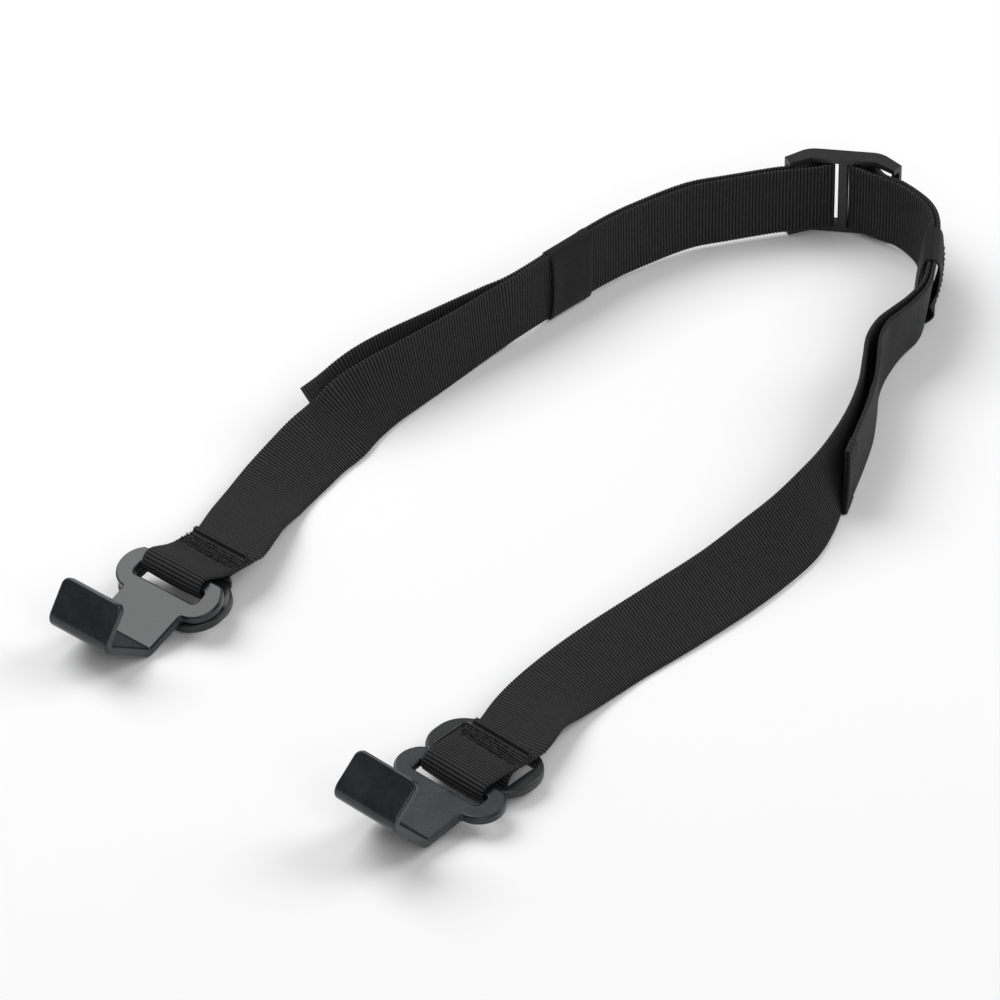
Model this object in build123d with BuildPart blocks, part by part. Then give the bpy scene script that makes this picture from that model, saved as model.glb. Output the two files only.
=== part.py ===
from build123d import *
import os
from math import acos, atan2, cos, degrees, hypot, radians, sin, tan

# Adjustable webbing strap: a moulded double adjuster joins two arms of flat webbing. Each arm
# ends in a coated steel J hook and a loose moulded ring, and its free tail runs back through a
# woven keeper. Units are mm. The strap stands on Z = 0, X runs along the adjuster and the arms
# open towards -Y.

# ---- webbing ----
web_width = 25.0
web_thick = 1.4
web_half = web_width / 2
seam_length = 9.0          # sewn end of the webbing at a hook
tip_length = {"left": 10.6, "right": 13.8}     # straight end of a free tail

# ---- adjuster ----
adjuster_at = (112.8, 177.8)   # middle of the centre bar on the floor
adjuster_turn = -8.0          # degrees about Z
slope = 32.0                  # each end of the frame falls back from its middle by this angle
flat_half = 10.6              # half length of the straight middle part
slope_length = 8.0            # length of each sloping end
rail_near = 0.9               # rail edge nearest the webbing line
rail_far = 6.8                # rail edge farthest from it
rail_end_far = 5.0            # the same at the tip of a rail
rail_thick = 1.9
rail_gap = 0.3                # play between webbing edge and rail
rail_corner = 8.0
centre_bar = (3.4, 3.6)       # along, across
wrap_bar = (3.0, 2.2)         # along, across
bar_tuck = 0.9                # wrap bar reaches this far into its turn
bar_round = 0.7
wrap_radius = 2.5             # webbing line round the wrap bar
wrap_centre = 6.0             # distance of that turn from the middle
end_bar = 3.2                 # length of an end bar along the slope
end_bar_near = 3.6            # end bar face nearest the webbing line
web_fall = {"left": 18.0, "right": 28.0}   # webbing falls away from the frame by this angle
web_corner = 4.5              # the fall starts this far from the middle
web_reach = 14.0              # webbing held by the adjuster, along the fall
turn_gap = 1.0                # cut between the adjuster's webbing and an arm

# ---- layers ----
layer_pitch = 2.2          # centre to centre of two webbing layers beside the adjuster
keeper_layers = 2.0        # centre to centre of the two layers inside a keeper

# ---- hook ----
hook_thick = 3.2
coat_thick = 0.4
hook_width = 25.4
ear_radius = 8.6
slot_length = web_width + 2.6
ear_span = slot_length + 14.4  # over both ears
slot_width = 5.5
slot_corner = 1.5
rear_bar = 4.6             # plate behind the slot
plate_length = 21.6        # slot to first bend
web_length = 22.8
web_rise = 52.0
lip_length = 15.6
lip_angle = 144.4
bend_radius = 2.6
hook_corner = 3.0          # corners of the lip
edge_round = 0.8

# ---- ring ----
ring_length = web_width + 16.0
ring_width = 24.0
ring_thick = 3.4
ring_rail = 4.4
ring_end_rail = 5.2
ring_corner = 11.0
ring_hole_corner = 1.5
ring_round = 0.9

# ---- loop of webbing at a hook ----
loop_radius = 3.6          # webbing line round the hook's rear bar and the ring's rail
loop_back = 26.0           # the loop's side profile ends this far behind the bar
seam_start = 12.5          # near end of the seam behind the bar
seam_play = 0.15           # between the folded end and the webbing under it

# ---- keeper ----
keeper_length = 19.6
keeper_wall = 0.9
keeper_play = 0.3          # play over the webbing edges
keeper_side_play = 0.45    # play beside the webbing faces
keeper_slack = {"left": 0.0, "right": 2.6}     # loose sleeve beyond the tail
keeper_corner = 1.5
keeper_face = {"left": 1, "right": -1}         # outer face of the sleeve
hem_width = 9.0            # sewn overlap of the sleeve

# ---- stitching ----
thread = 0.8
thread_rise = 0.35
stitch_play = 0.03         # between thread and webbing face
stitch_margin = 1.8        # thread to the edge of the sewn patch
zigzag_pitch = 2.2

# ---- small steps along the webbing line ----
rise_ahead = 1.5           # the lower strand leaves the seam this far ahead of it
seam_dip = 0.3             # and this far below it
drop_ahead = 4.0           # the upper strand bends down this far ahead of the seam
drop_lift = 0.4            # and this far above it
wrap_play = 0.3            # beside the wrap bar's outer face
wrap_exit = 4.9            # line height where the webbing leaves the wrap bar
hem_inset = 1.0            # bare webbing round the stitches of a tail's hem
exit_share = 0.72          # share of the reach where the tail lies on the arm

os.makedirs("parts", exist_ok=True)


# ---- stations: a place on the webbing line, its rib direction and its way ahead ----
def level(heading):
    return Vector(cos(radians(heading)), sin(radians(heading)), 0)


def rib_of(heading, lean):
    """Across the webbing: upright at lean 0, flat and pointing left of the heading at 90."""
    side = level(heading + 90)
    return Vector(0, 0, 1) * cos(radians(lean)) + side * sin(radians(lean))


def with_way(points):
    """Turn (place, rib) pairs into section planes that face along the line."""
    planes = []
    for i, (place, rib) in enumerate(points):
        before = points[max(i - 1, 0)][0]
        after = points[min(i + 1, len(points) - 1)][0]
        way = (after - before).normalized()
        rib = (rib - way * rib.dot(way)).normalized()
        planes.append(Plane(origin=place, x_dir=rib, z_dir=way))
    return planes


def webbing(planes):
    """Flat webbing lofted through every section plane."""
    with BuildPart() as piece:
        for plane in planes:
            with BuildSketch(plane):
                Rectangle(web_width, web_thick)
        loft(ruled=True)
    return piece.part


def save(part, label):
    part.label = label
    export_step(part, "parts/" + label + ".step")


def arc(centre, radius, first, last, steps):
    """Points (across, up) on an arc, angles in degrees."""
    turn = [first + (last - first) * k / steps for k in range(steps + 1)]
    return [(centre[0] + radius * cos(radians(t)), centre[1] + radius * sin(radians(t))) for t in turn]


arm_side = {"left": -1, "right": 1}

# ---- routes: (x, y, lift of the lower edge, lean), from the hook to the adjuster ----
# x and y are measured from the adjuster. Lean 0 is webbing on edge, 90 is webbing laid flat.
left_route = [
    (-199.0, -181.2, 6.4, 86), (-193.9, -166.2, 2.0, 81), (-188.8, -155.7, 0.4, 74),
    (-182.6, -146.0, 0, 66), (-176.7, -137.1, 0, 60), (-170.8, -130.0, 0, 54),
    (-165.3, -122.4, 0, 42), (-157.6, -114.2, 0, 28), (-148.3, -104.8, 0, 18),
    (-133.0, -88.5, 0, 8), (-119.5, -74.0, 0.7, 3), (-112.8, -67.8, 1.5, 0),
    (-78.8, -30.8, 1.5, 0), (-67.4, -21.9, 1.8, 0), (-51.5, -11.8, 2.2, 0), (-39.4, -7.6, 2.2, 0)]
right_route = [
    (-107.0, -287.2, 6.0, 84), (-99.4, -274.8, 2.4, 74), (-82.4, -254.9, 0, 62),
    (-61.0, -233.6, 0, 58), (-43.8, -216.0, 0, 54), (-30.3, -200.2, 0, 48),
    (-21.2, -188.9, 0, 40), (-14.5, -177.9, 0, 28), (-9.2, -166.8, 0, 17),
    (-4.6, -153.2, 0, 8), (-1.0, -140.0, 0, 3), (2.0, -125.0, 0, 0),
    (3.7, -111.0, 0, 0), (5.3, -99.0, 0.3, 0), (8.5, -89.0, 0.5, -4),
    (12.8, -82.0, 0.9, -9), (17.3, -75.8, 1.3, -12), (22.0, -69.5, 1.6, -10),
    (24.6, -62.0, 1.7, -8), (27.6, -30.0, 1.7, -8), (26.0, -21.5, 2.0, -3)]
# Distance of the free tail beside each route station, from the adjuster out to its tip.
left_tail_out = {15: 2.2, 14: 2.2, 13: 2.1, 12: 2.0, 11: 2.0, 10: 3.2, 9: 6.2, 8: 7.8, 7: 7.4, 6: 6.6}
right_tail_out = {20: 2.2, 19: 2.0, 18: 2.0, 17: 2.4, 16: 3.0, 15: 3.4, 14: 3.6, 13: 3.8, 12: 4.2,
                  11: 4.2, 10: 4.4, 9: 5.0}
tail_lean_limit = {"left": 42.0, "right": 0.0}
keeper_run = {"left": (11, 12), "right": (18, 19)}
keeper_shift = {"left": 3.2, "right": -1.2}    # keeper's place from the middle of its straight run

# ---- hook ends: rear bar place from the adjuster, height, pitch of the plate ----
hook_bar = {"left": (-219.8, -218.3), "right": (-129.3, -321.0)}
bar_height = {"left": 12.4, "right": 7.9}
hook_heading = -132.0
hook_pitch = {"left": -21.3, "right": -6.4}
ring_at = {"left": (-8.0, 7.6), "right": (-4.7, 5.0)}   # held rail: forward of the bar, up
ring_forward = {"left": 1, "right": -1}        # ring swung forwards or back
ring_pitch = {"left": -12.0, "right": -2.5}
hook_roll = {"left": 0.0, "right": -3.0}       # hook end tipped about its own length
web_shift = 0.9            # webbing sits this far along the rear bar
ring_shift = {"left": 0.6, "right": 3.0}       # the ring sits this far along it
seam_height = {"left": 11.2, "right": 9.4}     # webbing line under the seam
loop_end_height = {"left": 10.2, "right": 8.8}


def plan(x, y, z):
    """A place measured from the adjuster, as a vector in the strap's frame."""
    return Vector(adjuster_at[0] + x, adjuster_at[1] + y, z)


def heading_at(route, i):
    x0, y0 = route[max(i - 1, 0)][:2]
    x1, y1 = route[min(i + 1, len(route) - 1)][:2]
    return degrees(atan2(y1 - y0, x1 - x0))


def run_point(route, i, out=0.0, lean=None):
    """(place, rib) of a route station, or of a point beside it to the left by out."""
    x, y, lift, own_lean = route[i]
    heading = heading_at(route, i)
    lean = own_lean if lean is None else lean
    side = level(heading + 90) * out
    height = lift + web_half * cos(radians(lean)) + web_thick / 2 * sin(radians(abs(lean)))
    return plan(x, y, height) + side, rib_of(heading, lean)


# ---- adjuster frame: local x along, y away from the arms ----
adjuster_plane = Plane(origin=plan(0, 0, 0), x_dir=level(adjuster_turn), z_dir=(0, 0, 1))
web_middle = rail_thick + rail_gap + web_half
frame_height = 2 * (rail_thick + rail_gap) + web_width


def falling(side, corner, angle, along, out):
    """Local place on a line that falls away after a corner, at a distance out from that line."""
    run = (cos(radians(angle)), sin(radians(angle)))
    return (side * (corner + along * run[0] + out * run[1]), -along * run[1] + out * run[0])


def frame_place(side, along, out):
    return falling(side, flat_half, slope, along, out)


def frame_corner(side, out):
    return (side * (flat_half + out * tan(radians(slope / 2))), out)


rail_points = [
    frame_place(1, slope_length, rail_near), frame_corner(1, rail_near),
    frame_corner(-1, rail_near), frame_place(-1, slope_length, rail_near),
    frame_place(-1, slope_length, rail_end_far), frame_corner(-1, rail_far),
    frame_corner(1, rail_far), frame_place(1, slope_length, rail_end_far)]
bar_start = slope_length - end_bar

with BuildPart() as adjuster_frame:
    for base in (0, frame_height - rail_thick):
        with BuildSketch(adjuster_plane.offset(base)) as rail:
            with BuildLine():
                Polyline(*rail_points, close=True)
            make_face()
            fillet(rail.vertices().sort_by(Axis.Y)[-2:], radius=rail_corner)
        extrude(amount=rail_thick)
    with BuildSketch(adjuster_plane) as bars:
        with Locations((0, rail_near + centre_bar[1] / 2)):
            Rectangle(*centre_bar)
        for side in (-1, 1):
            with Locations((side * (wrap_centre + wrap_bar[0] / 2 - bar_tuck), wrap_radius)):
                Rectangle(*wrap_bar)
        fillet(bars.vertices(), radius=bar_round)
        for side in (-1, 1):
            with BuildLine():
                Polyline(
                    frame_place(side, slope_length, end_bar_near),
                    frame_place(side, bar_start, end_bar_near),
                    frame_place(side, bar_start, rail_end_far),
                    frame_place(side, slope_length, rail_end_far), close=True)
            make_face()
    extrude(amount=frame_height)
save(adjuster_frame.part, "adjuster_frame")


# ---- webbing turn inside the adjuster ----
def web_place(name, along, out):
    """Local place on an arm's webbing line as it leaves the adjuster."""
    return falling(arm_side[name], web_corner, web_fall[name], along, out)


def turn_line(name):
    """Line of the webbing round a wrap bar, from the arm's end to the tail's end."""
    side = arm_side[name]
    back = arc((wrap_centre, wrap_radius), wrap_radius, 270, 90, 8)
    line = [web_place(name, web_reach, 0), web_place(name, web_reach / 2, 0)]
    line += [(side * x, y) for x, y in back]
    line.append((side * (wrap_centre + wrap_bar[0] - bar_tuck + wrap_play), wrap_exit))
    return line + [web_place(name, k * web_reach, layer_pitch) for k in (exit_share, 1)]


def upright(local_points, height):
    return [(adjuster_plane.from_local_coords(Vector(x, y, height)), Vector(0, 0, 1))
            for x, y in local_points]


for name in ("left", "right"):
    save(webbing(with_way(upright(turn_line(name), web_middle))), name + "_adjuster_turn")


# ---- webbing loop at a hook, in a side plane: forward and up ----
def side_plane(name):
    """Side plane of a hook end: x towards the hook's tip, y up, z along the rear bar."""
    x, y = hook_bar[name]
    tilt = radians(hook_roll[name])
    bar_way = level(hook_heading - 90) * cos(tilt) - Vector(0, 0, 1) * sin(tilt)
    return Plane(origin=plan(x, y, 0), x_dir=level(hook_heading), z_dir=bar_way)


def loop_line(name):
    """Side line of the sewn loop, from the seam over the bar and under the ring to the arm."""
    bar, seam, far = bar_height[name], seam_height[name], loop_end_height[name]
    rail = ring_at[name]
    top = seam + web_thick + seam_play
    seam_end = seam_start + seam_length
    rise = (-seam_start + rise_ahead, seam - seam_dip)
    leave = degrees(atan2(rail[1] - bar, rail[0])) + 90
    to_rise = (rise[0] - rail[0], rise[1] - rail[1])
    meet = degrees(atan2(to_rise[1], to_rise[0]) + acos(loop_radius / hypot(*to_rise))) - 360
    drop = (-seam_start + drop_ahead, top + drop_lift)
    to_drop = (drop[0], drop[1] - bar)
    land = degrees(atan2(to_drop[1], to_drop[0]) - acos(loop_radius / hypot(*to_drop)))
    over = arc((0, bar), loop_radius, land, leave, 8)
    under = arc(rail, loop_radius, leave, meet, 5)
    sewn = [(-seam_end, top), (-seam_start, top), drop]
    return sewn + over + under + [rise, (-seam_end, seam), (-loop_back, far)]


def loop_points(name):
    plane = side_plane(name)
    return [(plane.from_local_coords(Vector(a, z, web_shift)), plane.z_dir)
            for a, z in loop_line(name)]


# ---- arms: loop, run to the adjuster and free tail ----
routes = {"left": left_route, "right": right_route}
tail_outs = {"left": left_tail_out, "right": right_tail_out}
tail_side = {"left": 1, "right": -1}


def arm_end(name, out):
    """(place, rib) pairs where an arm's layer meets the cut beside the adjuster."""
    reach = web_reach + turn_gap
    return upright([web_place(name, reach + 3.0, out), web_place(name, reach, out)], web_middle)


def tail_points(name):
    """(place, rib) pairs of a free tail, from the cut beside the adjuster to its tip."""
    route, beside = routes[name], []
    for i, out in tail_outs[name].items():
        lean = min(route[i][3], tail_lean_limit[name])
        beside.append(run_point(route, i, tail_side[name] * out, lean))
    way = beside[-1][0] - beside[-2][0]
    way = Vector(way.X, way.Y, 0).normalized()
    beside.append((beside[-1][0] + way * tip_length[name], beside[-1][1]))
    return arm_end(name, layer_pitch)[::-1] + beside


for name in ("left", "right"):
    route = routes[name]
    run = loop_points(name) + [run_point(route, i) for i in range(len(route))] + arm_end(name, 0)
    save(webbing(with_way(run)), name + "_main_run")
    save(webbing(with_way(tail_points(name))), name + "_tail")


# ---- hooks ----
def hook_plane(name):
    """Plan plane of a hook: x towards the tip, origin at the rear bar's middle."""
    side = side_plane(name)
    pitch = radians(hook_pitch[name])
    forward = side.x_dir * cos(pitch) + side.y_dir * sin(pitch)
    up = side.y_dir * cos(pitch) - side.x_dir * sin(pitch)
    bar = side.from_local_coords(Vector(0, bar_height[name], 0))
    return Plane(origin=bar, x_dir=forward, z_dir=up)


slot_front = rear_bar / 2 + slot_width
bend_at = slot_front + plate_length
hook_reach = bend_at + web_length + lip_length     # longer than the bent hook
ear_at = rear_bar / 2 + slot_width / 2


def bent_profile():
    """Side line of the hook, x forward and y up, through the middle of the metal."""
    bend_two = (bend_at + web_length * cos(radians(web_rise)), web_length * sin(radians(web_rise)))
    lip = (bend_two[0] + lip_length * cos(radians(lip_angle)),
           bend_two[1] + lip_length * sin(radians(lip_angle)))
    return [(-rear_bar / 2, 0), (bend_at, 0), bend_two, lip]


def hook_body(plane, inset):
    """Bent plate with ears, a neck and a webbing slot, shrunk by inset on every face."""
    thick = hook_thick - 2 * inset
    points = bent_profile()
    first, last = points[0], points[-1]
    end_way = (cos(radians(lip_angle)), sin(radians(lip_angle)))
    points[0] = (first[0] + inset, first[1])
    points[-1] = (last[0] - inset * end_way[0], last[1] - inset * end_way[1])
    side = Plane(origin=plane.origin, x_dir=plane.x_dir, z_dir=-plane.y_dir)
    with BuildPart() as body:
        with BuildSketch(side):
            with BuildLine() as line:
                FilletPolyline(*points, radius=bend_radius)
            trace(line.line, line_width=thick)
        extrude(amount=ear_span / 2, both=True)
        with BuildSketch(plane) as outline:
            with Locations((ear_at, 0)):
                SlotOverall(ear_span - 2 * inset, 2 * (ear_radius - inset), rotation=90)
            with Locations((hook_reach / 2, 0)):
                Rectangle(hook_reach, hook_width - 2 * inset)
        extrude(amount=hook_reach, both=True, mode=Mode.INTERSECT)
        lip_corners = body.edges().filter_by(lambda edge: abs(edge.length - thick) < 0.01)
        fillet(lip_corners.sort_by(lambda edge: plane.to_local_coords(edge.center()).Z)[-2:],
               radius=hook_corner - inset)
        with BuildSketch(plane):
            with Locations((ear_at, 0)):
                RectangleRounded(slot_width + 2 * inset, slot_length + 2 * inset, slot_corner + inset)
        extrude(amount=2 * hook_thick, both=True, mode=Mode.SUBTRACT)
        fillet(body.edges(), radius=edge_round - inset)
    return body.part


for name in ("left", "right"):
    plane = hook_plane(name)
    with BuildPart() as core:
        add(hook_body(plane, coat_thick))
    save(core.part, name + "_hook_core")
    with BuildPart() as coating:
        add(hook_body(plane, 0))
        add(core.part, mode=Mode.SUBTRACT)
    save(coating.part, name + "_hook_coating")


# ---- rings ----
for name in ("left", "right"):
    forward = ring_forward[name]
    side = side_plane(name)
    pitch = radians(ring_pitch[name])
    way = side.x_dir * cos(pitch) + side.y_dir * sin(pitch)
    up = side.y_dir * cos(pitch) - side.x_dir * sin(pitch)
    rail = side.from_local_coords(Vector(*ring_at[name], ring_shift[name]))
    plane = Plane(origin=rail, x_dir=way, z_dir=up)
    with BuildPart() as ring:
        with BuildSketch(plane):
            with Locations((forward * (ring_width - ring_rail) / 2, 0)):
                RectangleRounded(ring_width, ring_length, ring_corner)
                RectangleRounded(
                    ring_width - 2 * ring_rail, ring_length - 2 * ring_end_rail,
                    ring_hole_corner, mode=Mode.SUBTRACT)
        extrude(amount=ring_thick / 2, both=True)
        fillet(ring.edges(), radius=ring_round)
    save(ring.part, name + "_ring")


# ---- keepers ----
def keeper_plane(name):
    """Section plane at the middle of a keeper, x up the webbing, z along the run."""
    i, j = keeper_run[name]
    route = routes[name]
    ends = [run_point(route, k)[0] for k in (i, j)]
    way = (ends[1] - ends[0]).normalized()
    heading = degrees(atan2(way.Y, way.X))
    rib = rib_of(heading, route[i][3])
    beside = level(heading + 90) * (tail_side[name] * tail_outs[name][i] / 2)
    loose = rib.cross(way).normalized() * (tail_side[name] * keeper_slack[name] / 2)
    middle = (ends[0] + ends[1]) * 0.5 + way * keeper_shift[name]
    return Plane(origin=middle + beside + loose, x_dir=rib, z_dir=way)


for name in ("left", "right"):
    wide = web_width + 2 * keeper_play
    deep = web_thick + keeper_layers + 2 * keeper_side_play + keeper_slack[name]
    with BuildPart() as keeper:
        with BuildSketch(keeper_plane(name)):
            RectangleRounded(wide + 2 * keeper_wall, deep + 2 * keeper_wall, keeper_corner)
            RectangleRounded(wide, deep, keeper_corner - keeper_wall, mode=Mode.SUBTRACT)
        extrude(amount=keeper_length / 2, both=True)
    save(keeper.part, name + "_keeper")


# ---- stitching: one raised zigzag of thread on each sewn patch ----
def zigzag(plane, long, wide):
    """Thread that runs to and fro over a patch, long along the plane's y, wide along its x."""
    count = int((long - 2 * stitch_margin) / zigzag_pitch)
    x = wide / 2 - stitch_margin
    points = [(x * (-1) ** k, (k - count / 2) * zigzag_pitch) for k in range(count + 1)]
    with BuildPart() as row:
        with BuildSketch(plane):
            with BuildLine() as line:
                Polyline(*points)
            trace(line.line, line_width=thread)
        extrude(amount=thread_rise)
    return row.part


for name in ("left", "right"):
    side = side_plane(name)
    lift = seam_height[name] + web_thick * 1.5 + seam_play + stitch_play
    middle = side.from_local_coords(Vector(-seam_start - seam_length / 2, lift, web_shift))
    seam = Plane(origin=middle, x_dir=side.x_dir, z_dir=side.y_dir)
    save(zigzag(seam, web_width, seam_length), name + "_hook_seam")

    tail = tail_points(name)
    tip, rib = tail[-1]
    way = (tip - tail[-2][0]).normalized()
    face = way.cross(rib).normalized() * tail_side[name] * -1
    middle = tip - way * (tip_length[name] / 2 - hem_inset) + face * (web_thick / 2 + stitch_play)
    patch = Plane(origin=middle, x_dir=way, z_dir=face)
    save(zigzag(patch, web_width, tip_length[name] - 2 * hem_inset), name + "_tail_hem")

    sleeve = keeper_plane(name)
    deep = web_thick + keeper_layers + 2 * keeper_side_play + keeper_slack[name]
    face = sleeve.y_dir * keeper_face[name]
    middle = sleeve.origin + face * (deep / 2 + keeper_wall + stitch_play)
    patch = Plane(origin=middle, x_dir=sleeve.z_dir, z_dir=face)
    save(zigzag(patch, web_width, hem_width), name + "_keeper_stitches")
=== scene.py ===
from math import acos, atan2, cos, degrees, hypot, pi, radians, sin

import bpy
import numpy as np
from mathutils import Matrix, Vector


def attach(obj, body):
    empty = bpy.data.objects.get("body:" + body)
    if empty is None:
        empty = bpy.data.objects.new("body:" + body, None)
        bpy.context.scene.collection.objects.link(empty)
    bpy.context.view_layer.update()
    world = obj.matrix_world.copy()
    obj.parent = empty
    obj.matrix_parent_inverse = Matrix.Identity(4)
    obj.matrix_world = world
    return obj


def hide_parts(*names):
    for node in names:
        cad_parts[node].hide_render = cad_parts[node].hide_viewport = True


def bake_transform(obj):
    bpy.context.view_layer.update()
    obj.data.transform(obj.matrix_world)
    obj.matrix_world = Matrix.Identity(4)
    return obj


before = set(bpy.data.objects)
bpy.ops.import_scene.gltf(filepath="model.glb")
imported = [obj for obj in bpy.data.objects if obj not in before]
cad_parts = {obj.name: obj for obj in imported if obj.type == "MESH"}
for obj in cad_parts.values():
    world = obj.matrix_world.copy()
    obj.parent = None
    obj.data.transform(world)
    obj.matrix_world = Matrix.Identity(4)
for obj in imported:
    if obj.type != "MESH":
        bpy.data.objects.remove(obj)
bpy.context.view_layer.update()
rng = np.random.default_rng(7)
UP = np.array([0.0, 0.0, 1.0])
MM = 0.001

# ---------------------------------------------------------------- sizes, in mm, as in the CAD part
WEB, THICK = 25.0, 1.4
OUTER = -1                 # side of the webbing that shows over a hook
RIB = 1.2
ROWS_PER_RIB = 4
ADJUSTER_AT, ADJUSTER_TURN = (112.8, 177.8), -8.0
WEB_MIDDLE, LAYER = 14.7, 2.2
WEB_FALL = {"left": 18.0, "right": 28.0}
ARM_SIDE = {"left": -1, "right": 1}
TAIL_SIDE = {"left": 1, "right": -1}
WRAP_CENTRE, WRAP_RADIUS = 6.0, 2.5
HOOK_HEADING = -132.0
HOOK_BAR = {"left": (-219.8, -218.3), "right": (-129.3, -321.0)}
BAR_HEIGHT = {"left": 12.4, "right": 7.9}
HOOK_ROLL = {"left": 0.0, "right": -3.0}
RING_AT = {"left": (-8.0, 7.6), "right": (-4.7, 5.0)}
SEAM_Z = {"left": 11.2, "right": 9.4}
LOOP_END_Z = {"left": 10.2, "right": 8.8}
LOOP_RADIUS, LOOP_BACK, SEAM_START, SEAM_LENGTH, WEB_SHIFT = 3.6, 26.0, 12.5, 9.0, 0.9
LOOP_TURN = {"left": 0.22, "right": 0.12}    # how far the strap has turned behind its seam
KEEPER_LENGTH = 19.6
# x, y from the adjuster, lift of the lower edge, lean: from the hook to the adjuster
ROUTE = {
    "left": [
        (-199.0, -181.2, 6.4, 86), (-193.9, -166.2, 2.0, 81), (-188.8, -155.7, 0.4, 74),
        (-182.6, -146.0, 0, 66), (-176.7, -137.1, 0, 60), (-170.8, -130.0, 0, 54),
        (-165.3, -122.4, 0, 42), (-157.6, -114.2, 0, 28), (-148.3, -104.8, 0, 18),
        (-133.0, -88.5, 0, 8), (-119.5, -74.0, 0.7, 3), (-112.8, -67.8, 1.5, 0),
        (-78.8, -30.8, 1.5, 0), (-67.4, -21.9, 1.8, 0), (-51.5, -11.8, 2.2, 0),
        (-39.4, -7.6, 2.2, 0)],
    "right": [
        (-107.0, -287.2, 6.0, 84), (-99.4, -274.8, 2.4, 74), (-82.4, -254.9, 0, 62),
        (-61.0, -233.6, 0, 58), (-43.8, -216.0, 0, 54), (-30.3, -200.2, 0, 48),
        (-21.2, -188.9, 0, 40), (-14.5, -177.9, 0, 28), (-9.2, -166.8, 0, 17),
        (-4.6, -153.2, 0, 8), (-1.0, -140.0, 0, 3), (2.0, -125.0, 0, 0),
        (3.7, -111.0, 0, 0), (5.3, -99.0, 0.3, 0), (8.5, -89.0, 0.5, -4),
        (12.8, -82.0, 0.9, -9), (17.3, -75.8, 1.3, -12), (22.0, -69.5, 1.6, -10),
        (24.6, -62.0, 1.7, -8), (27.6, -30.0, 1.7, -8), (26.0, -21.5, 2.0, -3)]}
TAIL_OUT = {
    "left": {15: 2.2, 14: 2.2, 13: 2.1, 12: 2.0, 11: 2.0, 10: 3.2, 9: 6.2, 8: 7.8, 7: 7.2, 6: 5.8},
    "right": {20: 2.2, 19: 2.0, 18: 2.0, 17: 2.4, 16: 3.0, 15: 3.4, 14: 3.6, 13: 3.8, 12: 4.3,
              11: 4.4, 10: 4.2, 9: 4.4}}
TAIL_LEAN = {"left": 50.0, "right": -2.0}
TIP_LENGTH = {"left": 10.2, "right": 13.8}
KEEPER_RUN = {"left": (11, 12), "right": (18, 19)}
KEEPER_SHIFT = {"left": 3.2, "right": -1.2}

# relief of the webbing; s runs from the folded end at the seam to the tip of the tail
RIB_DEPTH = 0.42
TAIL_FLATTER = {"left": 0.06, "right": 0.34}    # rib depth lost on the free tail
CREASE_MARKS = (17.5, 19.5, 22, 24)             # stations of the smoother crease, left side
FOLD_RISE, FOLD_FROM, FOLD_TO = 1.5, 1.8, 3.0   # raised ridge of the folded end
SEWN_FROM, SEWN_TO = (2.6, 3.4), (8.6, 10.5)    # puckered patch behind the ridge
DIP_AT, DIP_WIDE, DIP_DEPTH = 9.5, 2.2, 0.25    # hollow between the patch and the bar
PINCH_AT, PINCH_WIDE, PINCH = 1.5, 4.0, 0.9     # narrower at the sewn end
HEM_LENGTH, HEM_RISE, END_ROUND = 8.5, 0.4, 0.9
EDGE_LOOP, SECTION_COLUMNS = 0.22, 15
TURN_RIGHT = (5.45, 2.95)                       # the right turn is looser round its bar
TURN_FROM = 262.0

# stitches: pitch, length and thickness of one thread
SEAM_ROWS, SEAM_ROW_PITCH, SEAM_IN_ROW, SEAM_PITCH = 5, 1.15, 15, 1.6
SEAM_THREAD, HEM_THREAD = 0.26, 0.2
HEM_ROWS, HEM_IN_ROW, HEM_PITCH, HEM_STITCH = (7.4, 2.2), 11, 2.1, 1.4
SLEEVE_ROWS, SLEEVE_IN_ROW, SLEEVE_PITCH, SLEEVE_STITCH = (-3.0, 3.0), 10, 2.2, 1.3

# keeper section: half sizes of its outer face, wall and the swell of the right one
KEEPER_HALF, KEEPER_SWELL_HALF, KEEPER_WALL = (13.35, 2.65), 13.6, 0.62
KEEPER_AROUND, KEEPER_ROWS, KEEPER_PUFF = 72, 34, 2.7


# ---------------------------------------------------------------- places along the webbing
def level(heading):
    return np.array([cos(radians(heading)), sin(radians(heading)), 0.0])


def plan(x, y, z):
    return np.array([ADJUSTER_AT[0] + x, ADJUSTER_AT[1] + y, z])


def unit(v):
    return v / np.linalg.norm(v)


def arc(centre, radius, first, last, steps):
    turn = np.radians(np.linspace(first, last, steps + 1))
    return [(centre[0] + radius * cos(t), centre[1] + radius * sin(t)) for t in turn]


def heading_at(route, i):
    a, b = route[max(i - 1, 0)], route[min(i + 1, len(route) - 1)]
    return degrees(atan2(b[1] - a[1], b[0] - a[0]))


def rib_of(heading, lean):
    return UP * cos(radians(lean)) + level(heading + 90) * sin(radians(lean))


def run_point(route, i, out=0.0, limit=None):
    x, y, lift, lean = route[i]
    lean = lean if limit is None else min(lean, limit)
    heading = heading_at(route, i)
    height = lift + WEB / 2 * cos(radians(lean)) + THICK / 2 * sin(radians(abs(lean)))
    return plan(x, y, height) + level(heading + 90) * out, rib_of(heading, lean)


def side_axes(name):
    """Origin on the floor under a hook's rear bar, then forward, up and along the bar."""
    tilt = radians(HOOK_ROLL[name])
    bar_way = level(HOOK_HEADING - 90) * cos(tilt) - UP * sin(tilt)
    forward = level(HOOK_HEADING)
    return plan(*HOOK_BAR[name], 0), forward, np.cross(bar_way, forward), bar_way


def side_place(name, a, z, along=0.0):
    origin, forward, up, bar_way = side_axes(name)
    return origin + forward * a + up * z + bar_way * along


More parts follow.
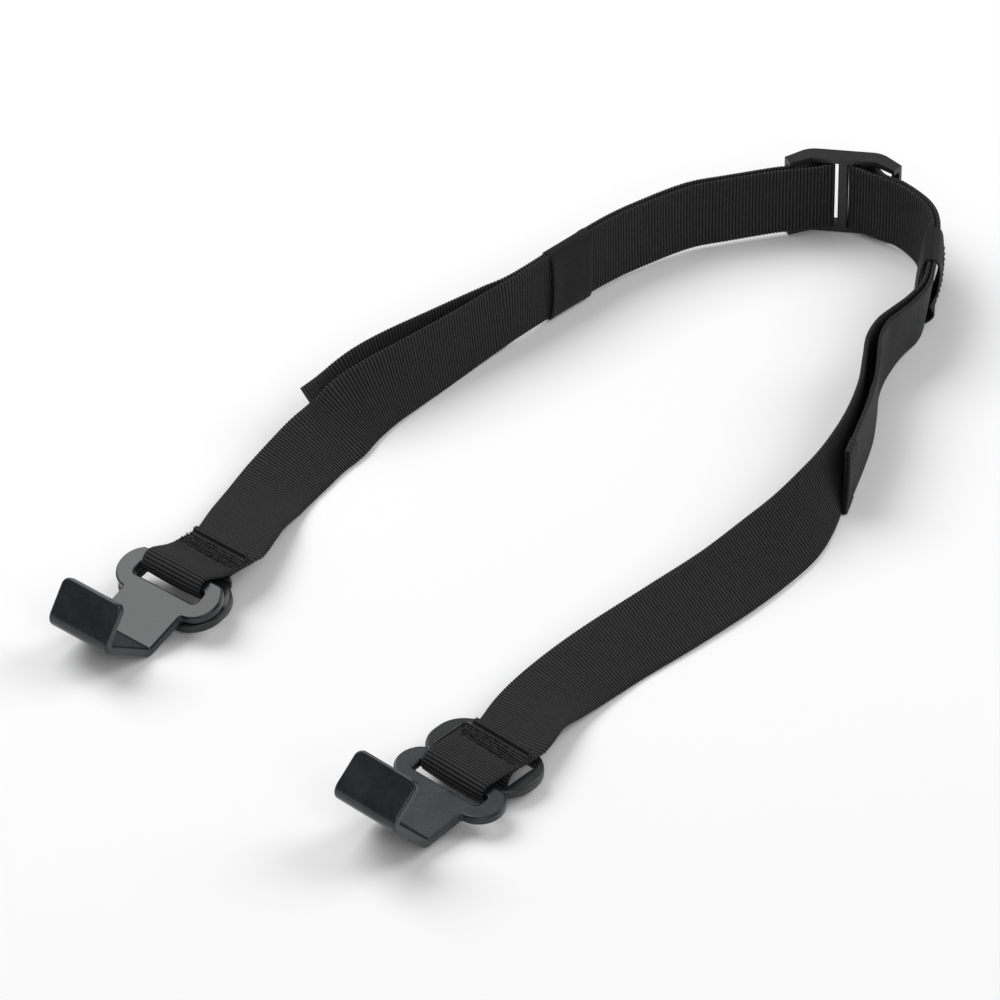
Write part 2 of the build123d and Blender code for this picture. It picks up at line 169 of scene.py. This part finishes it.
def loop_points(name):
    bar, seam, rail = BAR_HEIGHT[name], SEAM_Z[name], RING_AT[name]
    top, seam_end = seam + THICK + 0.15, SEAM_START + SEAM_LENGTH
    rise, drop = (-SEAM_START + 1.5, seam - 0.3), (-SEAM_START + 4.0, top + 0.4)
    leave = degrees(atan2(rail[1] - bar, rail[0])) + 90
    to_rise = (rise[0] - rail[0], rise[1] - rail[1])
    meet = degrees(atan2(to_rise[1], to_rise[0]) + acos(LOOP_RADIUS / hypot(*to_rise))) - 360
    to_drop = (drop[0], drop[1] - bar)
    land = degrees(atan2(to_drop[1], to_drop[0]) - acos(LOOP_RADIUS / hypot(*to_drop)))
    line = [(-seam_end, top), (-seam_end + 4.5, top), (-SEAM_START, top), drop]
    line += arc((0, bar), LOOP_RADIUS, land, leave, 8) + arc(rail, LOOP_RADIUS, leave, meet, 5)
    line += [rise, (-seam_end, seam)]
    rib = side_axes(name)[3]
    points = [(side_place(name, a, z, WEB_SHIFT), rib) for a, z in line]
    next_rib = run_point(ROUTE[name], 0)[1]
    next_rib = next_rib * np.sign((next_rib * rib).sum())
    lean = LOOP_TURN[name]
    points.append((side_place(name, -LOOP_BACK, LOOP_END_Z[name], WEB_SHIFT + 6 * lean),
                   unit(rib * (1 - lean) + next_rib * lean)))
    return points


def adjuster_place(x, y, z=WEB_MIDDLE):
    t = radians(ADJUSTER_TURN)
    return plan(x * cos(t) - y * sin(t), x * sin(t) + y * cos(t), z)


def web_place(name, along, out):
    t = radians(WEB_FALL[name])
    x = ARM_SIDE[name] * (4.5 + along * cos(t) + out * sin(t))
    return adjuster_place(x, -along * sin(t) + out * cos(t))


def webbing_line(name):
    """(place, rib) along one whole length of webbing, and the index where its tail starts."""
    route = ROUTE[name]
    points = loop_points(name)
    points += [run_point(route, i) for i in range(len(route))]
    points += [(web_place(name, k, 0), UP) for k in (18, 11, 5)]
    side = ARM_SIDE[name]
    centre, radius = (WRAP_CENTRE, WRAP_RADIUS) if name == "left" else TURN_RIGHT
    turn = arc((centre, WRAP_RADIUS), radius, TURN_FROM, 90, 8)
    points += [(adjuster_place(side * x, y), UP) for x, y in turn]
    points.append((adjuster_place(side * 8.4, 4.9), UP))
    tail_from = len(points)
    points += [(web_place(name, k, LAYER), UP) for k in (10.1, 14, 18)]
    for i, out in TAIL_OUT[name].items():
        points.append(run_point(route, i, TAIL_SIDE[name] * out, TAIL_LEAN[name]))
    way = points[-1][0] - points[-2][0]
    way[2] = 0
    points.append((points[-1][0] + unit(way) * TIP_LENGTH[name], points[-1][1]))
    return points, tail_from


def smooth_line(points, step):
    """Centripetal curve through (place, rib) points, resampled at even steps."""
    place = np.array([p for p, _ in points])
    rib = np.array([unit(r) for _, r in points])

    def ends(a):
        return np.vstack([2 * a[0] - a[1], a, 2 * a[-1] - a[-2]])

    p, r = ends(place), ends(rib)
    t = np.concatenate([[0], np.cumsum(np.linalg.norm(np.diff(p, axis=0), axis=1) ** 0.5)])
    dense_p, dense_r, mark = [], [], []
    for i in range(1, len(p) - 2):
        count = max(4, int(np.linalg.norm(p[i + 1] - p[i]) / 0.2))
        for k in range(count):
            u = t[i] + (t[i + 1] - t[i]) * k / count
            out = []
            for a in (p, r):
                q = [(a[i + j] * (t[i + j + 1] - u) + a[i + j + 1] * (u - t[i + j]))
                     / (t[i + j + 1] - t[i + j]) for j in (-1, 0, 1)]
                w = [(q[j] * (t[i + j + 1] - u) + q[j + 1] * (u - t[i + j - 1]))
                     / (t[i + j + 1] - t[i + j - 1]) for j in (0, 1)]
                out.append((w[0] * (t[i + 1] - u) + w[1] * (u - t[i])) / (t[i + 1] - t[i]))
            dense_p.append(out[0])
            dense_r.append(out[1])
            mark.append(i - 1 + k / count)
    dense_p.append(place[-1])
    dense_r.append(rib[-1])
    mark.append(len(points) - 1.0)
    dense_p, dense_r, mark = np.array(dense_p), np.array(dense_r), np.array(mark)
    s = np.concatenate([[0], np.cumsum(np.linalg.norm(np.diff(dense_p, axis=0), axis=1))])
    at = np.arange(0, s[-1], step)

    def pick(a):
        return np.stack([np.interp(at, s, a[:, j]) for j in range(3)], 1)

    place, rib = pick(dense_p), pick(dense_r)
    way = np.gradient(place, axis=0)
    way /= np.linalg.norm(way, axis=1)[:, None]
    rib -= way * (rib * way).sum(1)[:, None]
    rib /= np.linalg.norm(rib, axis=1)[:, None]
    return at, place, rib, np.cross(way, rib), np.interp(at, s, mark)


# ---------------------------------------------------------------- meshes
def make_mesh(name, verts_mm, faces, uv=None):
    mesh = bpy.data.meshes.new(name)
    mesh.from_pydata((np.asarray(verts_mm) * MM).tolist(), [], faces)
    if uv is not None:
        layer = mesh.uv_layers.new(name="UVMap")
        loops = np.zeros(len(mesh.loops), np.int32)
        mesh.loops.foreach_get("vertex_index", loops)
        layer.data.foreach_set("uv", np.asarray(uv, np.float32)[loops].ravel())
    mesh.polygons.foreach_set("use_smooth", [True] * len(mesh.polygons))
    mesh.update()
    obj = bpy.data.objects.new(name, mesh)
    bpy.context.collection.objects.link(obj)
    return obj


def skin(rings, closed_ends=True):
    """Faces of a tube through rings of equal length; rings is (rows, around, 3)."""
    rows, around = rings.shape[:2]
    a = np.arange(rows - 1)[:, None] * around
    j = np.arange(around)[None, :]
    k = (j + 1) % around
    quads = np.stack([a + j, a + k, a + around + k, a + around + j], -1).reshape(-1, 4).tolist()
    if closed_ends:
        quads.append(list(range(around - 1, -1, -1)))
        quads.append([(rows - 1) * around + i for i in range(around)])
    return quads


def section(columns):
    """Flat webbing section, (across, face) from -1 to 1, going round."""
    x = np.linspace(-1, 1, columns)
    front = [(v, 1.0) for v in x]
    back = [(v, -1.0) for v in x[::-1]]
    right = [(1.018, 0.55), (1.026, 0.0), (1.018, -0.55)]
    left = [(-1.018, -0.55), (-1.026, 0.0), (-1.018, 0.55)]
    return np.array(front + right + back + left)


def step_up(x, a, b):
    """Smooth step from 0 at a to 1 at b."""
    t = np.clip((x - a) / (b - a), 0, 1)
    return t * t * (3 - 2 * t)


def rounded_end(distance):
    """Thickness share near an end, falling over the last END_ROUND."""
    share = (1 - distance / END_ROUND).clip(0, 1)
    return np.sqrt(np.clip(1 - share ** 2, 0.05, 1))


def strap(name):
    """One continuous ribbed webbing, its length, and its line as (s, place, rib, normal)."""
    points, tail_from = webbing_line(name)
    s, place, rib, normal, mark = smooth_line(points, RIB / ROWS_PER_RIB)
    total = s[-1]
    ribs = np.abs(np.sin(pi * s / RIB)) ** 0.7
    tail = step_up(mark, tail_from - 1.5, tail_from)
    depth = RIB_DEPTH - TAIL_FLATTER[name] * tail
    if name == "left":
        first, second, third, fourth = CREASE_MARKS
        crease = step_up(mark, first, second) * (1 - step_up(mark, third, fourth))
        depth = depth * (1 - 0.55 * crease)
    sewn = step_up(s, *SEWN_FROM) * (1 - step_up(s, *SEWN_TO))
    fold = 1 - step_up(s, FOLD_FROM, FOLD_TO)
    hem_start = total - HEM_LENGTH
    hem = step_up(s, hem_start - 0.5, hem_start + 0.5)
    shape = section(SECTION_COLUMNS)
    x, y = shape[:, 0][None, :], shape[:, 1][None, :]
    wobble = 0.22 * np.sin(s / 31.0 + (0 if name == "left" else 2)) + 0.1 * np.sin(s / 7.3)
    pinch = np.exp(-((s - PINCH_AT) / PINCH_WIDE) ** 2)
    half = (WEB / 2 - 0.3 + EDGE_LOOP * ribs + wobble * 0.5 - PINCH * pinch)[:, None]
    groove = (depth * (1 - ribs))[:, None]
    edge_fade = 1 - 0.25 * np.abs(x) ** 6
    thick = THICK / 2 - 0.02 - groove * edge_fade
    thick = thick + (FOLD_RISE * fold)[:, None] * (y * OUTER > 0) + (HEM_RISE * hem)[:, None]
    pucker = 0.2 * np.sin(x * 19 + 2.2 * np.sin(s[:, None] * 2.9))
    pucker = pucker + 0.12 * np.sin(x * 41 + s[:, None] * 3.3)
    dip = np.exp(-((s - DIP_AT) / DIP_WIDE) ** 2)[:, None] * DIP_DEPTH
    thick = thick + (sewn[:, None] * (pucker - 0.3) - dip) * (y * OUTER > 0)
    thick = thick * (rounded_end(total - s) * rounded_end(s))[:, None]
    across = x * half
    sag = (0.35 * np.sin(s / 23.0)[:, None]) * (x ** 2 - 0.4) * (1 - sewn[:, None])
    rings = (place[:, None, :] + rib[:, None, :] * across[..., None]
             + normal[:, None, :] * (y * thick + sag * (1 - fold[:, None]))[..., None])
    uv = np.stack([np.broadcast_to(across / WEB, rings.shape[:2]),
                   np.broadcast_to(s[:, None] / RIB, rings.shape[:2])], -1).reshape(-1, 2)
    obj = make_mesh(name + "_webbing", rings.reshape(-1, 3), skin(rings), uv)
    return obj, total, (s, place, rib, normal)


def capsules(name, items):
    """Short rounded threads: items is a list of (start, end, radius)."""
    verts, faces = [], []
    rows = [(0.0, 0.35), (0.12, 0.85), (0.35, 1.0), (0.65, 1.0), (0.88, 0.85), (1.0, 0.35)]
    sides = 6
    for start, end, radius in items:
        way = unit(end - start)
        side = unit(np.cross(way, UP if abs(way[2]) < 0.9 else np.array([1.0, 0, 0])))
        other = np.cross(way, side)
        length = np.linalg.norm(end - start)
        base = len(verts)
        for u, r in rows:
            for k in range(sides):
                t = 2 * pi * k / sides
                around = (side * cos(t) + other * sin(t)) * radius * r
                verts.append(start + way * (u * length) + around)
        for i in range(len(rows) - 1):
            near = base + i * sides
            far = near + sides
            for k in range(sides):
                j = (k + 1) % sides
                faces.append([near + k, near + j, far + j, far + k])
        last = base + (len(rows) - 1) * sides
        faces.append([base + k for k in range(sides - 1, -1, -1)])
        faces.append([last + k for k in range(sides)])
    return make_mesh(name, np.array(verts), faces)


def seam_threads(name):
    """Dense rows of stitches across the sewn end of the webbing."""
    items = []
    top = SEAM_Z[name] + THICK * 1.5 + 0.15
    seam_end = SEAM_START + SEAM_LENGTH
    half = 0.6
    z = top - 0.06
    for row in range(SEAM_ROWS):
        a = -seam_end + 3.6 + row * SEAM_ROW_PITCH
        for k in range(SEAM_IN_ROW):
            x = -11.2 + k * SEAM_PITCH + 0.5 * (row % 2) + rng.uniform(-0.2, 0.2)
            y = a + rng.uniform(-0.18, 0.18)
            turn = rng.uniform(-0.35, 0.35) * half
            start = side_place(name, y - turn, z, WEB_SHIFT + x - half)
            end_z = z + rng.uniform(-0.05, 0.05)
            end = side_place(name, y + turn, end_z, WEB_SHIFT + x + half)
            items.append((start, end, SEAM_THREAD))
    return capsules(name + "_seam_threads", items)


def tail_threads(name, line, total):
    """Two rows of stitches across the folded tip of a tail, on both faces."""
    s, place, rib, normal = line
    items = []
    for back in HEM_ROWS:
        i = int(np.searchsorted(s, total - back))
        for k in range(HEM_IN_ROW):
            x = -10.8 + k * HEM_PITCH
            for face in (-1, 1):
                base = place[i] + normal[i] * face * 1.16
                items.append((base + rib[i] * x, base + rib[i] * (x + HEM_STITCH), HEM_THREAD))
    return capsules(name + "_tail_threads", items)


# ---------------------------------------------------------------- keepers
def keeper_axes(name):
    """Middle of a keeper, then its directions up the webbing, towards the tail and along."""
    i, j = KEEPER_RUN[name]
    route = ROUTE[name]
    ends = [run_point(route, k)[0] for k in (i, j)]
    way = unit(ends[1] - ends[0])
    heading = degrees(atan2(way[1], way[0]))
    rib = rib_of(heading, route[i][3])
    out = level(heading + 90) * (TAIL_SIDE[name] * TAIL_OUT[name][i] / 2)
    middle = (ends[0] + ends[1]) / 2 + way * KEEPER_SHIFT[name] + out
    return middle, rib, unit(np.cross(rib, way)) * TAIL_SIDE[name], way


def keeper(name):
    """Woven sleeve round both layers: x up the webbing, y towards the tail, z along the run."""
    middle, rib, outward, way = keeper_axes(name)
    around = KEEPER_AROUND
    turn = np.linspace(0, 2 * pi, around, endpoint=False)
    z = np.linspace(-KEEPER_LENGTH / 2, KEEPER_LENGTH / 2, KEEPER_ROWS)
    rings_out, rings_in = [], []
    for v in z:
        near = step_up(-v, KEEPER_LENGTH / 2 - 7.0, KEEPER_LENGTH / 2)
        far = step_up(v, KEEPER_LENGTH / 2 - 3.2, KEEPER_LENGTH / 2 - 2.6)
        ring = []
        for t in turn:
            c, d = cos(t), sin(t)
            x = KEEPER_HALF[0] * abs(c) ** 0.35 * (1 if c > 0 else -1)
            y = KEEPER_HALF[1] * abs(d) ** 0.55 * (1 if d > 0 else -1)
            flat = 1 - (x / KEEPER_SWELL_HALF) ** 2
            if name == "left":
                flare = 0.9 * near * flat * (-1 if d < 0 else 0.35)
                y += flare + 0.22 * far * (1 if d > 0 else -1)
                y += 0.3 * flat * sin(v * 0.35) * (-1 if d < 0 else 0)
            else:
                puff = 0.55 + 0.45 * cos(v / KEEPER_LENGTH * 2.6)
                y += (KEEPER_PUFF * flat ** 0.7 * puff) * (1 if d > 0 else -0.25)
                pinch = near * np.exp(-((x + 4.5) / 2.6) ** 2)
                y -= 1.9 * pinch * (1 if d > 0 else -0.1)
                y += near * np.exp(-((x + 9.5) / 2.4) ** 2) * (1 if d > 0 else 0)
            ring.append((x, y))
        ring = np.array(ring)
        rings_out.append(ring)
        wall = np.array([0, 1.0]) * np.sign(ring[:, 1:2]) * KEEPER_WALL
        rings_in.append(ring * np.array([0.955, 1.0]) - wall)

    def to_world(ring, v):
        return middle + rib * ring[:, 0:1] + outward * ring[:, 1:2] + way * v

    rings = [to_world(r, v) for r, v in zip(rings_out, z)]
    lip_far = to_world((rings_out[-1] + rings_in[-1]) / 2, z[-1] + 0.3)
    inner = [to_world(r, v) for r, v in zip(rings_in[::-1], z[::-1])]
    lip_near = to_world((rings_out[0] + rings_in[0]) / 2, z[0] - 0.35)
    rings = np.array(rings + [lip_far] + inner + [lip_near])
    faces = skin(rings, closed_ends=False)
    last = (len(rings) - 1) * around
    faces += [[last + j, last + (j + 1) % around, (j + 1) % around, j] for j in range(around)]
    steps = np.linalg.norm(np.diff(rings_out[0], axis=0), axis=1)
    lengths = np.concatenate([[0], np.cumsum(steps)])
    depth = np.concatenate([z, [z[-1]], z[::-1], [z[0]]])
    uv = np.stack([np.broadcast_to(lengths[None, :], rings.shape[:2]),
                   np.broadcast_to(depth[:, None], rings.shape[:2])], -1).reshape(-1, 2)
    return make_mesh(name + "_sleeve_webbing", rings.reshape(-1, 3), faces, uv)


def keeper_threads(name):
    """Two rows of stitches that close a keeper, on its face towards the tail."""
    middle, rib, outward, way = keeper_axes(name)
    items = []
    for column in SLEEVE_ROWS:
        for k in range(SLEEVE_IN_ROW):
            x = -10.5 + SLEEVE_PITCH * k
            y = KEEPER_HALF[1] + 0.07
            if name == "right":
                flat = 1 - ((x + 0.6) / KEEPER_SWELL_HALF) ** 2
                y = KEEPER_HALF[1] + KEEPER_PUFF * flat ** 0.7 * 0.95 + 0.05
            base = middle + way * column + outward * y
            items.append((base + rib * x, base + rib * (x + SLEEVE_STITCH), HEM_THREAD))
    return capsules(name + "_sleeve_threads", items)


# ---------------------------------------------------------------- materials
YARNS = 38                 # fine yarns across the webbing
TWILL = (0.72, 0.62)       # pitch of the sleeve's twill round it and along it


def material(name, base, roughness, sheen=0.0, coat=0.0, specular=0.5):
    m = bpy.data.materials.new(name)
    m.use_nodes = True
    nodes, links = m.node_tree.nodes, m.node_tree.links
    shader = nodes["Principled BSDF"]
    shader.inputs["Base Color"].default_value = (*base, 1)
    shader.inputs["Roughness"].default_value = roughness
    shader.inputs["Sheen Weight"].default_value = sheen
    shader.inputs["Sheen Roughness"].default_value = 0.4
    shader.inputs["Coat Weight"].default_value = coat
    shader.inputs["Coat Roughness"].default_value = 0.08
    shader.inputs["Specular IOR Level"].default_value = specular
    return m, nodes, links, shader


def calculator(nodes, links):
    """A function that adds one math node and gives back its output."""
    def calc(kind, *values):
        n = nodes.new("ShaderNodeMath")
        n.operation = kind
        for i, v in enumerate(values):
            if isinstance(v, (int, float)):
                n.inputs[i].default_value = v
            else:
                links.new(v, n.inputs[i])
        return n.outputs[0]
    return calc


def add_bump(nodes, links, shader, height, strength, distance):
    bump = nodes.new("ShaderNodeBump")
    bump.inputs["Strength"].default_value = strength
    bump.inputs["Distance"].default_value = distance
    links.new(height, bump.inputs["Height"])
    links.new(bump.outputs["Normal"], shader.inputs["Normal"])


def noise(nodes, links, scale, detail=3.0):
    n = nodes.new("ShaderNodeTexNoise")
    n.inputs["Scale"].default_value = scale
    n.inputs["Detail"].default_value = detail
    links.new(nodes.new("ShaderNodeTexCoord").outputs["Object"], n.inputs["Vector"])
    return n.outputs["Fac"]


def mix_colour(nodes, links, factor, dark, light, shader):
    ramp = nodes.new("ShaderNodeValToRGB")
    ramp.color_ramp.elements[0].color = (*dark, 1)
    ramp.color_ramp.elements[1].color = (*light, 1)
    ramp.color_ramp.elements[0].position = 0.3
    ramp.color_ramp.elements[1].position = 0.75
    links.new(factor, ramp.inputs["Fac"])
    links.new(ramp.outputs["Color"], shader.inputs["Base Color"])


def woven(name, dark, light, ribbed):
    """Black yarn: ribbed webbing has yarns crossing each rib, the sleeve has a fine twill; the
    colour is painted darker in the grooves between ribs and yarns as painted shade.
    """
    m, nodes, links, shader = material(name, light, 0.6, sheen=0.02, specular=0.16)
    uv = nodes.new("ShaderNodeSeparateXYZ")
    links.new(nodes.new("ShaderNodeTexCoord").outputs["UV"], uv.inputs[0])
    x, y = uv.outputs["X"], uv.outputs["Y"]
    calc = calculator(nodes, links)
    if ribbed:
        shift = calc("MULTIPLY", calc("FLOOR", y), pi)
        yarn = calc("SINE", calc("MULTIPLY_ADD", x, 2 * pi * YARNS, shift))
        wave = calc("SINE", calc("MULTIPLY", y, pi))
        # 1 on a rib's crest, 0 in the groove between ribs; it drives the painted groove shade
        # below
        groove = calc("MULTIPLY", wave, wave)
    else:
        lean = calc("MULTIPLY", x, 2 * pi / TWILL[0])
        yarn = calc("SINE", calc("MULTIPLY_ADD", y, 2 * pi / TWILL[1], lean))
        # lighter on each twill yarn, darker between yarns; it drives the painted groove shade
        # below
        groove = calc("MULTIPLY_ADD", yarn, 0.5, 0.5)
    fibre = noise(nodes, links, 2600.0)
    fluff = noise(nodes, links, 420.0, 4.0)
    height = calc("MULTIPLY_ADD", yarn, 0.42 if ribbed else 0.6, fibre)
    add_bump(nodes, links, shader, height, 0.75, 0.00022)
    speck = calc("MULTIPLY_ADD", fibre, 0.6, calc("MULTIPLY", fluff, 0.4))
    # painted shade: colour lighter on rib and yarn crests, darker in the grooves between them
    painted_groove_shading = calc("MULTIPLY_ADD", groove, 0.55, calc("MULTIPLY", yarn, 0.08))
    # random fibre specks (the yarn's own tone) plus the painted groove shade
    speck_and_groove_shading = calc("ADD", calc("MULTIPLY", speck, 0.5), painted_groove_shading)
    mix_colour(nodes, links, speck_and_groove_shading, dark, light, shader)
    return m


def plastic(name, base, roughness, grain):
    """Semi-matte black with a faint, uneven tone."""
    m, nodes, links, shader = material(name, base, roughness, specular=0.5)
    spots = noise(nodes, links, grain, 5.0)
    dark, light = (tuple(share * c for c in base) for share in (0.75, 1.3))
    mix_colour(nodes, links, spots, dark, light, shader)
    add_bump(nodes, links, shader, noise(nodes, links, 1500.0), 0.12, 0.0001)
    return m


def coating(name):
    """Thick glossy dip with a smoky, slightly uneven surface."""
    m, nodes, links, shader = material(name, (0.01, 0.012, 0.014), 0.3, coat=0.12, specular=0.4)
    cloud = noise(nodes, links, 130.0, 6.0)
    fine = noise(nodes, links, 900.0, 4.0)
    calc = calculator(nodes, links)
    both = calc("MULTIPLY_ADD", fine, 0.35, calc("MULTIPLY", cloud, 0.65))
    mix_colour(nodes, links, both, (0.003, 0.0035, 0.0045), (0.017, 0.02, 0.024), shader)
    rough = nodes.new("ShaderNodeMapRange")
    rough.inputs["To Min"].default_value = 0.16
    rough.inputs["To Max"].default_value = 0.36
    links.new(both, rough.inputs["Value"])
    links.new(rough.outputs["Result"], shader.inputs["Roughness"])
    add_bump(nodes, links, shader, cloud, 0.05, 0.0006)
    return m


# first colour of each: painted shade in the grooves between ribs or twill yarns; second: the
# yarn's colour on the crests
WEBBING = woven("webbing", (0.001, 0.001, 0.0012), (0.04, 0.04, 0.042), True)
SLEEVE = woven("keeper_webbing", (0.0015, 0.0015, 0.0018), (0.03, 0.03, 0.032), False)
THREAD = plastic("thread", (0.010, 0.010, 0.011), 0.7, 900.0)
FRAME_PLASTIC = plastic("adjuster_plastic", (0.014, 0.014, 0.015), 0.45, 300.0)
RING_PLASTIC = plastic("ring_plastic", (0.012, 0.013, 0.014), 0.36, 300.0)
COATING = coating("hook_coating")
STEEL = material("hook_steel", (0.5, 0.5, 0.51), 0.35)[0]
STEEL.node_tree.nodes["Principled BSDF"].inputs["Metallic"].default_value = 1.0


def paint(obj, mat):
    obj.data.materials.clear()
    obj.data.materials.append(mat)


def wear(obj, mat):
    paint(obj, mat)


# ---------------------------------------------------------------- build
for name in ("left", "right"):
    arm = name + "_arm"
    webbing, total, line = strap(name)
    wear(webbing, WEBBING)
    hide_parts(name + "_main_run", name + "_adjuster_turn", name + "_tail")
    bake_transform(webbing)
    for obj, node, body in (
            (seam_threads(name), name + "_hook_seam", arm),
            (tail_threads(name, line, total), name + "_tail_hem", arm),
            (keeper_threads(name), name + "_keeper_stitches", name + "_sleeve")):
        wear(obj, THREAD)
        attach(obj, body)
        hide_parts(node)
    sleeve = keeper(name)
    wear(sleeve, SLEEVE)
    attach(sleeve, name + "_sleeve")
    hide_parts(name + "_keeper")
    for node, mat in (("_hook_coating", COATING), ("_hook_core", STEEL), ("_ring", RING_PLASTIC)):
        paint(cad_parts[name + node], mat)
paint(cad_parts["adjuster_frame"], FRAME_PLASTIC)

# ---------------------------------------------------------------- floor, light, camera
FLOOR_HALF = 4
floor_mesh = bpy.data.meshes.new("floor")
corners = [(-FLOOR_HALF, -FLOOR_HALF, 0), (FLOOR_HALF, -FLOOR_HALF, 0),
           (FLOOR_HALF, FLOOR_HALF, 0), (-FLOOR_HALF, FLOOR_HALF, 0)]
floor_mesh.from_pydata(corners, [], [(0, 1, 2, 3)])
floor = bpy.data.objects.new("floor", floor_mesh)
bpy.context.collection.objects.link(floor)
floor.data.materials.append(material("floor", (0.93, 0.93, 0.93), 0.9, specular=0.0)[0])
floor.location = (0, 0, -0.0003)

world = bpy.data.worlds.new("studio")
bpy.context.scene.world = world
world.use_nodes = True
world.node_tree.nodes["Background"].inputs["Color"].default_value = (1, 1, 1, 1)
world.node_tree.nodes["Background"].inputs["Strength"].default_value = 0.24


def area(name, place, size, power):
    """A rectangular light that points at the origin."""
    data = bpy.data.lights.new(name, "AREA")
    data.shape = "RECTANGLE"
    data.size, data.size_y = size
    data.energy = power
    obj = bpy.data.objects.new(name, data)
    bpy.context.collection.objects.link(obj)
    obj.location = place
    way = unit(np.array(place))
    obj.rotation_mode = "QUATERNION"
    obj.rotation_quaternion = Vector(way).to_track_quat("Z", "Y")
    return obj


lights = [area("key", (-0.78, 0.66, 1.42), (1.35, 1.35), 22.0),
          area("side", (1.5, 0.3, 1.3), (1.2, 1.2), 14.0),
          area("front", (0.3, -1.9, 1.5), (1.5, 1.2), 14.0)]

camera_data = bpy.data.cameras.new("camera")
camera = bpy.data.objects.new("camera", camera_data)
bpy.context.collection.objects.link(camera)
bpy.context.scene.camera = camera
target = np.array([-0.004, 0.0188, 0.0])
elevation, distance = radians(35), 3.0
camera.location = target + distance * np.array([0, -cos(elevation), sin(elevation)])
camera.rotation_euler = (pi / 2 - elevation, 0, 0)
camera_data.lens = 329.4
camera_data.sensor_width = 36
camera_data.clip_start, camera_data.clip_end = 0.1, 20

scene = bpy.context.scene
scene.view_settings.view_transform = "Standard"
scene.view_settings.look = "None"
